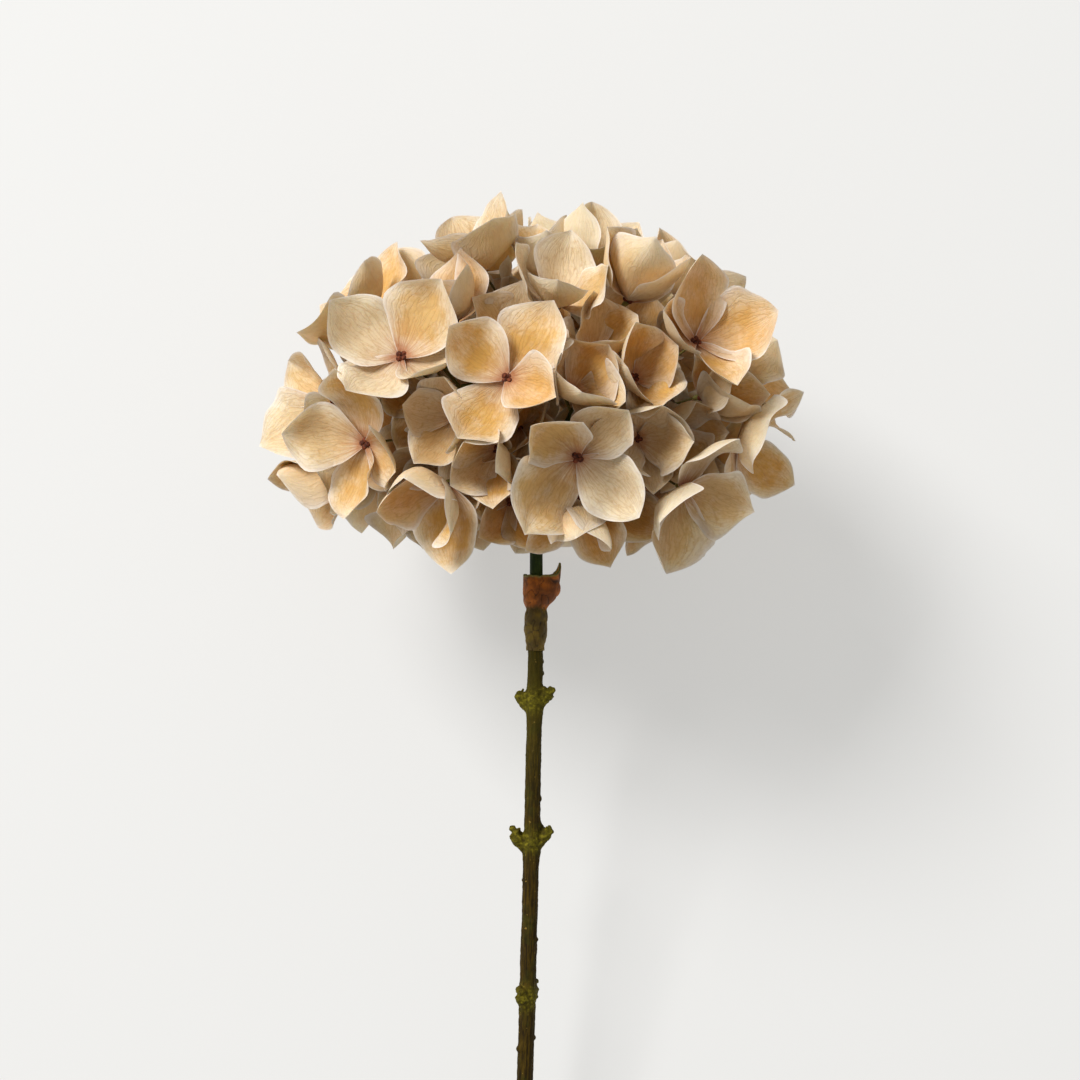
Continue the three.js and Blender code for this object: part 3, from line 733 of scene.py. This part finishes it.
spiral = []
for i, z in enumerate(np.linspace(0.99, -0.55, DIRECTIONS)):
    aside = math.sqrt(1 - z * z)
    spiral.append(Vector((math.cos(i * SPIRAL_TURN) * aside, math.sin(i * SPIRAL_TURN) * aside, z)))
covered = [way for f in measured.values() for way in sepal_directions(f)]
small = []
while len(small) < MOST_SMALL:
    nearest = np.array(spiral) @ np.array(covered).T
    gap = int(nearest.max(axis=1).argmin())
    if math.acos(min(nearest[gap].max(), 1)) < WIDEST_GAP:
        break
    chance = random.Random(9000 + len(small))
    floret = small_floret(spiral[gap], chance)
    covered += sepal_directions(floret)
    small.append(build_floret(f"small_floret_{len(small) + 1:02d}", floret, chance, sepal_look))
print(len(small), "small florets; the widest gap left is",
      round(math.degrees(math.acos(min(nearest[gap].max(), 1))), 1), "degrees")

# %% [markdown]
# ## Where the leaves were
#
# The woody stem has a pair of short stubs at each height where two leaves grew, turned from the
# pair before. The CAD stem has them as plain pegs. Their ends are the corners that stand
# farthest from the stem's middle line, so they can be found and thickened. The cut across the
# foot is the largest face that looks down there.

# %% Find the stubs and the cut
own_stem = np.array([own_place(p) for p in stem_points])
middle_line = np.polyfit(own_stem[:, 2], own_stem[:, 0], 2)


def from_middle(p):
    """A point of the flower's own frame as its offset from the stem's middle line."""
    return Vector((p[0] - np.polyval(middle_line, p[2]), p[1], 0))


STUB_REACH = 5.2 * MM
stub_ends = [Vector(q) for q in own_stem if from_middle(q).length > STUB_REACH]
stubs = []
for p in sorted(stub_ends, key=lambda q: q.z):
    for stub in stubs:
        if (stub[-1] - p).length < 4 * MM:
            stub.append(p)
            break
    else:
        stubs.append([p])
stubs = [sum(stub, Vector()) / len(stub) for stub in stubs]
scars = sorted({round(stub.z / MM / 10) for stub in stubs})
scars = [np.mean([t.z for t in stubs if abs(t.z / MM / 10 - s) < 1]) - 3 * MM for s in scars]
cut = max(
    (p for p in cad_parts["woody_stem"].data.polygons if p.normal.dot(up) < -0.5
     and own_place(p.center).z < foot.z + 12 * MM),
    key=lambda p: p.area)
cut_normal, cut_point = cut.normal.copy(), cut.center.copy()
print(len(stubs), "stubs, at", [round(t.z / MM) for t in stubs], "mm")

# %% [markdown]
# ## Thicker stubs
#
# On the real stem, each stub sits on a thick collar with a few lumps of old bud. Plain cones
# and balls stand in for them. They may overlap each other and the stem, because the next step
# grows them all into one skin.

# %% Thicken the stubs
def stub_lumps():
    lumps = bmesh.new()
    chance = random.Random(41)
    for stub in stubs:
        outward = from_middle(stub)
        root = stub - outward - Vector((0, 0, 7.5 * MM))
        shoulder = stub - outward * 0.22 - Vector((0, 0, 1.2 * MM))
        aim = (shoulder - root).to_track_quat("Z", "Y").to_matrix().to_4x4()
        collar = bmesh.ops.create_cone(
            lumps, cap_ends=True, segments=16, radius1=1.5 * MM, radius2=2.0 * MM,
            depth=(shoulder - root).length,
            matrix=Matrix.Translation((shoulder + root) / 2) @ aim)["verts"]
        for vert in collar:
            vert.co = row_place(*vert.co)
        for k in range(7):
            share = chance.uniform(0.3, 0.95)
            spot = stub - outward * (1 - share) + Vector((
                chance.uniform(-1.2, 1.2), chance.uniform(-1.2, 1.2),
                chance.uniform(-1.2, 2.2) * share)) * MM
            bmesh.ops.create_icosphere(
                lumps, subdivisions=2, radius=chance.uniform(0.6, 1.15) * MM,
                matrix=Matrix.Translation(row_place(*spot)))
    return lumps


stem_lumps = stub_lumps()
print(len(stem_lumps.faces), "faces on the collars and lumps")

# %% [markdown]
# ## Green stalk and woody stem
#
# Both are one grown piece with side shoots that swell out of the main line. Joined cones meet
# in hard creases, and a plant has none. A voxel remesh of the merged CAD solid turns every
# join into even small quads, and a little smoothing then rounds the creases like growth does.

# %% Remesh a grown piece
def grown_copy(node, voxel, smoothing, extra=None):
    """A bmesh of the node in even small quads, with its joins smoothed."""
    merged = bmesh.new()
    merged.from_mesh(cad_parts[node].data)
    bmesh.ops.remove_doubles(merged, verts=merged.verts, dist=1e-6)
    if extra:
        merged = merge([merged, extra])
    mesh = bpy.data.meshes.new(f"{node}_solid")
    merged.to_mesh(mesh)
    merged.free()
    rough = bpy.data.objects.new(f"{node}_solid", mesh)
    bpy.context.scene.collection.objects.link(rough)
    remesh = rough.modifiers.new("even", "REMESH")
    remesh.mode, remesh.voxel_size = "VOXEL", voxel
    even = bmesh.new()
    even.from_object(rough, bpy.context.evaluated_depsgraph_get())
    bpy.data.objects.remove(rough)
    for _ in range(smoothing):
        bmesh.ops.smooth_vert(
            even, verts=even.verts, factor=0.5, use_axis_x=True, use_axis_y=True, use_axis_z=True)
    return even


STALK_GRAIN = 0.36 * MM
STEM_GRAIN = 0.42 * MM
stalk_shape = grown_copy("flower_stalk", STALK_GRAIN, 1)
stem_shape = grown_copy("woody_stem", STEM_GRAIN, 2, stem_lumps)
print(len(stalk_shape.faces), "faces on the stalk and", len(stem_shape.faces), "on the stem")

# %% [markdown]
# ## Bark
#
# The stem has low ridges along it, a few pale pores, and green lumpy collars. The finish has to
# know where those are, so each vertex stores how near the closest pair of stubs it is, and how
# far along and around the stem. The foot is a clean slanting cut, where the bark gives way to
# pale wood.

# %% Raise the bark
SCAR_SPREAD = 3.6 * MM
CUT_RIM = 0.35 * MM  # how far up from the cut the wood shows
bark_layer = {n: stem_shape.verts.layers.float.new(n) for n in ("length", "round", "scar", "wood")}
stem_shape.normal_update()
for vert in stem_shape.verts:
    p = own_place(vert.co)
    aside = from_middle(p)
    around = math.atan2(aside.y, aside.x)
    near = math.exp(-(min(abs(p.z - s) for s in scars) / SCAR_SPREAD) ** 2)
    near = max(near, min(max(aside.length / MM - 3.4, 0) / 1.5, 1))
    wood = 1.0 if (vert.co - cut_point).dot(cut_normal) > -CUT_RIM else 0.0
    vert[bark_layer["length"]], vert[bark_layer["round"]] = p.z / MM, around
    vert[bark_layer["scar"]], vert[bark_layer["wood"]] = near, wood
    if wood:
        continue
    spot = Vector((math.cos(around) * 2.2, math.sin(around) * 2.2, p.z / (9 * MM)))
    ridges = noise.noise(spot * 1.3) + 0.5 * noise.noise(spot * 3)
    lumps = noise.noise(Vector(p) / (1.6 * MM)) + 0.6 * noise.noise(Vector(p) / (0.8 * MM))
    nub = max(noise.noise(Vector(p) / (3.3 * MM)) - 0.52, 0) * 3
    swell = 0.2 * ridges + (0.1 + 0.3 * near) * lumps + nub
    vert.co += vert.normal * swell * MM
cut_corners = sum(vert[bark_layer["wood"]] for vert in stem_shape.verts)
print(f"{cut_corners:.0f} corners of {len(stem_shape.verts)} are on the cut")

# %% [markdown]
# ## The bark's finish
#
# Bark is olive brown in long streaks. The noise for them is read off the way round and along
# the stem, squeezed lengthwise, so the streaks follow its bends. Green and pale specks gather
# at the collars. The surface is dull, with fine grit in the bump.

# %% Bark finish
def bark_finish():
    finish = Finish("bark", Specular_IOR_Level=0.12)
    length, around = finish.attribute("length"), finish.attribute("round")
    scar, wood = finish.attribute("scar"), finish.attribute("wood")
    place = finish.place()
    ribbed = finish.join(around.math("COSINE") * 2.4, around.math("SINE") * 2.4, length * 0.09)
    ridges = finish.noise(ribbed, 0.55, 4.0, 0.6)
    moss = finish.noise(place, 5.0, 4.0, 0.6)
    grit = finish.noise(place, 0.45, 3.0, 0.6)
    speck = finish.noise(place, 1.1, 2.0, 0.5)
    colour = finish.blend(ridges.ramp(0.35, 0.68), paint(34, 24, 3), paint(72, 55, 6))
    colour = finish.blend(moss.ramp(0.5, 0.7) * 0.55, colour, paint(54, 54, 9))
    colour = finish.blend(length.ramp(-90.0, -30.0) * 0.5, colour, paint(72, 66, 12))
    colour = finish.blend((scar * (0.35 + moss * 0.8)).between(0.0, 1.0), colour, paint(88, 82, 12))
    colour = finish.blend(scar * speck.ramp(0.5, 0.66) * 0.7, colour, paint(130, 120, 30))
    colour = finish.blend(scar * speck.ramp(0.45, 0.3) * 0.7, colour, paint(40, 27, 6))
    colour = finish.blend(speck.ramp(0.7, 0.76) * (1 - scar), colour, paint(132, 108, 48))
    colour = finish.blend(wood, colour, paint(196, 186, 120))
    relief = ridges * 1.2 + grit * 0.5 + speck * 0.4
    finish.wear(colour, 0.62 + grit * 0.3, relief, bump=0.6, depth=0.3 * MM)
    return finish


stem_piece = add_piece("woody_stem_bark", stem_shape, bark_finish(), "bark", "woody_stem")
print(stem_piece.name, "has", len(stem_piece.data.polygons), "faces")

# %% [markdown]
# ## The green stalk
#
# The stalk and its branches are fresh green at the sheath, lighter and pinker near the florets.
# Fine lengthwise lines are enough here, since most of it hides inside the head.

# %% Stalk finish
def stalk_finish():
    finish = Finish("stalk", Specular_IOR_Level=0.2)
    place = finish.place()
    lines = finish.noise(finish.place((1, 0.12, 0.5)), 0.5, 3.0)
    patches = finish.noise(place, 6.0, 3.0)
    out = finish.attribute("out")
    colour = finish.blend(patches.ramp(0.35, 0.7), paint(24, 42, 10), paint(52, 72, 20))
    colour = finish.blend(lines.ramp(0.5, 0.8) * 0.4, colour, paint(84, 98, 36))
    colour = finish.blend(out * 0.7, colour, paint(104, 92, 42))
    finish.wear(colour, 0.5 + lines * 0.2, lines, bump=0.4, depth=0.15 * MM)
    return finish


out_layer = stalk_shape.verts.layers.float.new("out")
for vert in stalk_shape.verts:
    p = own_place(vert.co)
    from_line = math.hypot(p.x, p.y) + max(p.z - DOME_CENTRE, 0)
    vert[out_layer] = min(max((from_line - 12 * MM) / (40 * MM), 0), 1)
stalk_piece = add_piece(
    "flower_stalk_green", stalk_shape, stalk_finish(), "green_stalk", "flower_stalk")
print(stalk_piece.name, "has", len(stalk_piece.data.polygons), "faces")

# %% [markdown]
# ## The papery sheath
#
# A dry bract wraps the join like a strip of paper, once round with an overlap, and its free
# corner stands up to a torn point. A grid rolled into a tube has exactly that build: its long
# side is the overlap, and its top edge can be pulled up. Creases run slantwise round it. The
# wall gets its thickness last, once the sheet has its shape.

# %% Measure the sheath
own_sheath = np.array([own_place(p) for p in sheath_points])
sheath_length = -own_sheath[:, 2].min()
point_height = own_sheath[:, 2].max()
point_reach = own_sheath[:, 0].max()
foot_ring = own_sheath[own_sheath[:, 2] < -sheath_length + 0.1 * MM]
foot_middle = (foot_ring.max(axis=0) + foot_ring.min(axis=0)) / 2
foot_radius = (foot_ring.max(axis=0) - foot_ring.min(axis=0))[0] / 2
print(f"sheath {sheath_length / MM:.1f} mm long, its foot {foot_radius / MM:.2f} mm in radius")
print(f"its point reaches {point_reach / MM:.1f} mm out and {point_height / MM:.1f} mm up")

# %% Creases, radius and height of the paper
SHEATH_WALL = 0.3 * MM
SEAM_TURN = -0.55  # where the paper's inner edge lies, in radians round from the right
OVERLAP = 0.75  # how much further than once round it goes
POINT_TURN = 0.12
POINT_SPREAD = 0.3
POINT_SLACK = 0.2 * MM  # kept inside the CAD sheath's reach, for the wall


def ease(low, high, value):
    share = min(max((value - low) / (high - low), 0), 1)
    return share * share * (3 - 2 * share)


def sheath_creases(turn, share):
    """How far the paper is lifted, and how far it is from a sharp fold."""
    slant = share * 9 + math.sin(turn) * 1.2
    spot = Vector((math.cos(turn) * 1.3, math.sin(turn) * 1.3, slant))
    lift = noise.noise(spot) + 0.6 * noise.noise(spot * 2.3)
    fold = abs(noise.noise(Vector((math.cos(turn), math.sin(turn), slant * 0.5)) * 1.7))
    return lift, fold


def sheath_radius(turn, outer, share, lift, fold):
    """Snug at the foot, pinched half way, and loose below the point."""
    loose = max(math.cos(turn - 0.1), 0) ** 2
    waist = math.exp(-((share - 0.56) / 0.07) ** 2)
    radius = foot_radius - 1.15 * MM + 0.3 * MM * outer
    radius += 0.8 * MM * ease(0, 0.3, share) - 0.45 * MM * waist
    radius += (0.3 * lift - 0.9 * max(0.12 - fold, 0) / 0.12 * 0.45) * MM
    radius += (point_reach - foot_radius - POINT_SLACK) * loose * ease(0.52, 0.8, share)
    return radius + 0.6 * MM * ease(0.5, 0.75, share)


def sheath_height(turn, outer, share):
    """Even at the foot and torn at the top, with a spike at the free corner."""
    from_point = (turn if outer < 0.5 else turn - 2 * math.pi) - POINT_TURN
    spike = math.exp(-(from_point / POINT_SPREAD) ** 2)
    tear = 0.5 * MM * noise.noise(Vector((turn * 2.5, 7, 0))) * ease(0.8, 1, share)
    height = -sheath_length * (1 - share) + tear
    return height + (point_height - POINT_SLACK) * spike * ease(0.84, 1, share)


print(f"the rim stands {sheath_radius(math.pi, 0.5, 1, 0, 1) / MM:.1f} mm out on the left")

# %% Roll the sheath
SHEATH_STEPS_ROUND = 128
SHEATH_STEPS_UP = 56


def roll_sheath():
    sheet = bmesh.new()
    high = sheet.verts.layers.float.new("high")
    crease_layer = sheet.verts.layers.float.new("crease")
    bmesh.ops.create_grid(
        sheet, x_segments=SHEATH_STEPS_ROUND, y_segments=SHEATH_STEPS_UP, size=1)
    for vert in sheet.verts:
        outer, share = (vert.co.x + 1) / 2, (vert.co.y + 1) / 2
        turn = SEAM_TURN + outer * (2 * math.pi + OVERLAP)
        lift, fold = sheath_creases(turn, share)
        radius = sheath_radius(turn, outer, share, lift, fold)
        sway = foot_middle[0] * (1 - share)
        vert[high], vert[crease_layer] = share, min(fold / 0.2, 1)
        vert.co = row_place(
            sway + radius * math.cos(turn), radius * math.sin(turn),
            sheath_height(turn, outer, share))
    bmesh.ops.recalc_face_normals(sheet, faces=sheet.faces)
    bmesh.ops.solidify(sheet, geom=sheet.faces, thickness=SHEATH_WALL)
    return sheet


sheath_shape = roll_sheath()
print("the sheath has", len(sheath_shape.faces), "faces")

# %% Sheath finish
def sheath_finish():
    finish = Finish("sheath", Specular_IOR_Level=0.35, Subsurface_Weight=0.1)
    high, crease = finish.attribute("high"), finish.attribute("crease")
    place = finish.place()
    fibres = finish.noise(finish.place((1, 0.15, 0.6)), 0.5, 4.0, 0.65)
    stains = finish.noise(place, 3.6, 3.0, 0.5)
    dry = finish.blend(stains.ramp(0.35, 0.7), paint(118, 60, 5), paint(186, 100, 16))
    olive = finish.blend(stains.ramp(0.4, 0.7), paint(84, 64, 7), paint(122, 96, 16))
    colour = finish.blend((high + stains * 0.16).ramp(0.6, 0.7), olive, dry)
    colour = finish.blend(fibres.ramp(0.5, 0.75) * 0.35, colour, paint(70, 44, 12))
    # painted shade: near-black brown along the sharp folds, where the paper dips in
    colour = finish.blend(crease.ramp(0.6, 0.0) * 0.85, colour, paint(44, 26, 6))
    colour = finish.blend((high + fibres * 0.05).ramp(0.985, 1.03), colour, paint(132, 134, 70))
    finish.wear(colour, 0.5 + fibres * 0.3, fibres + stains * 0.6, bump=0.6, depth=0.3 * MM)
    return finish


sheath_look = sheath_finish()
add_piece("papery_sheath_roll", sheath_shape, sheath_look, "sheath", "papery_sheath")
print("the sheath's finish has", len(sheath_look.tree.nodes), "nodes")

# %% [markdown]
# ## The table, the light and the camera
#
# The table is a plain pale sheet, large enough to run out of every view. One broad lamp stands
# up and to the left of the head, so the sepals round off softly to the lower right, and the
# sky fills the rest. The table glows a little, which stands in for the light that a white room
# throws back, and keeps the shadow soft. The camera looks straight at the side that faces up,
# square to the stem.

# %% Stage
TABLE_REACH = 6
table = bmesh.new()
bmesh.ops.create_grid(table, x_segments=1, y_segments=1, size=TABLE_REACH)
table_mesh = bpy.data.meshes.new("table")
table.to_mesh(table_mesh)
table_top = bpy.data.objects.new("table", table_mesh)
bpy.context.scene.collection.objects.link(table_top)
pale = Finish(
    "pale_table", Roughness=0.9, Specular_IOR_Level=0.1, Base_Color=paint(162, 162, 162),
    Emission_Color=paint(255, 255, 252), Emission_Strength=0.45)
table_mesh.materials.append(pale.material)
table_top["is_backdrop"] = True
print("the table is", 2 * TABLE_REACH, "m across")

# %% Light
world = bpy.data.worlds.new("room")
bpy.context.scene.world = world
world.use_nodes = True
world.node_tree.nodes["Background"].inputs["Color"].default_value = (1.0, 0.985, 0.96, 1)
world.node_tree.nodes["Background"].inputs["Strength"].default_value = 0.42


def lamp(name, place, aim, size, power, colour):
    light = bpy.data.lights.new(name, "AREA")
    light.size, light.energy, light.color = size, power, colour
    light_object = bpy.data.objects.new(name, light)
    light_object.location = place
    light_object.rotation_euler = (aim - place).to_track_quat("-Z", "Y").to_euler()
    bpy.context.scene.collection.objects.link(light_object)


lit_point = row_place(0, 0, 55 * MM)
window_place = row_place(-1.7, -2.2, 1.9)
lamp("window", window_place, lit_point, 1.3, 118, (1.0, 0.99, 0.975))
print(f"the lamp is {(window_place - lit_point).length:.1f} m from the head")

# %% Camera
camera = bpy.data.cameras.new("camera")
camera.lens, camera.sensor_width = 65, 36
camera.clip_start, camera.clip_end = 0.05, 20
camera_object = bpy.data.objects.new("camera", camera)
camera_object.matrix_world = (
    Matrix.Translation(row_place(1.3 * MM, -0.645, 11.5 * MM))
    @ Matrix((right, up, front)).transposed().to_4x4())
bpy.context.scene.collection.objects.link(camera_object)
bpy.context.scene.camera = camera_object
bpy.context.scene.view_settings.view_transform = "Standard"
print(f"the camera is {(camera_object.location - lit_point).length:.2f} m from the head")

# %% Compare the boxes and finish
visual_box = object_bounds()
for axis, low, high in zip("xyz", visual_box[0] - cad_box[0], visual_box[1] - cad_box[1]):
    print(f"{axis}: {low / MM:+.1f} and {high / MM:+.1f} mm against the CAD box")
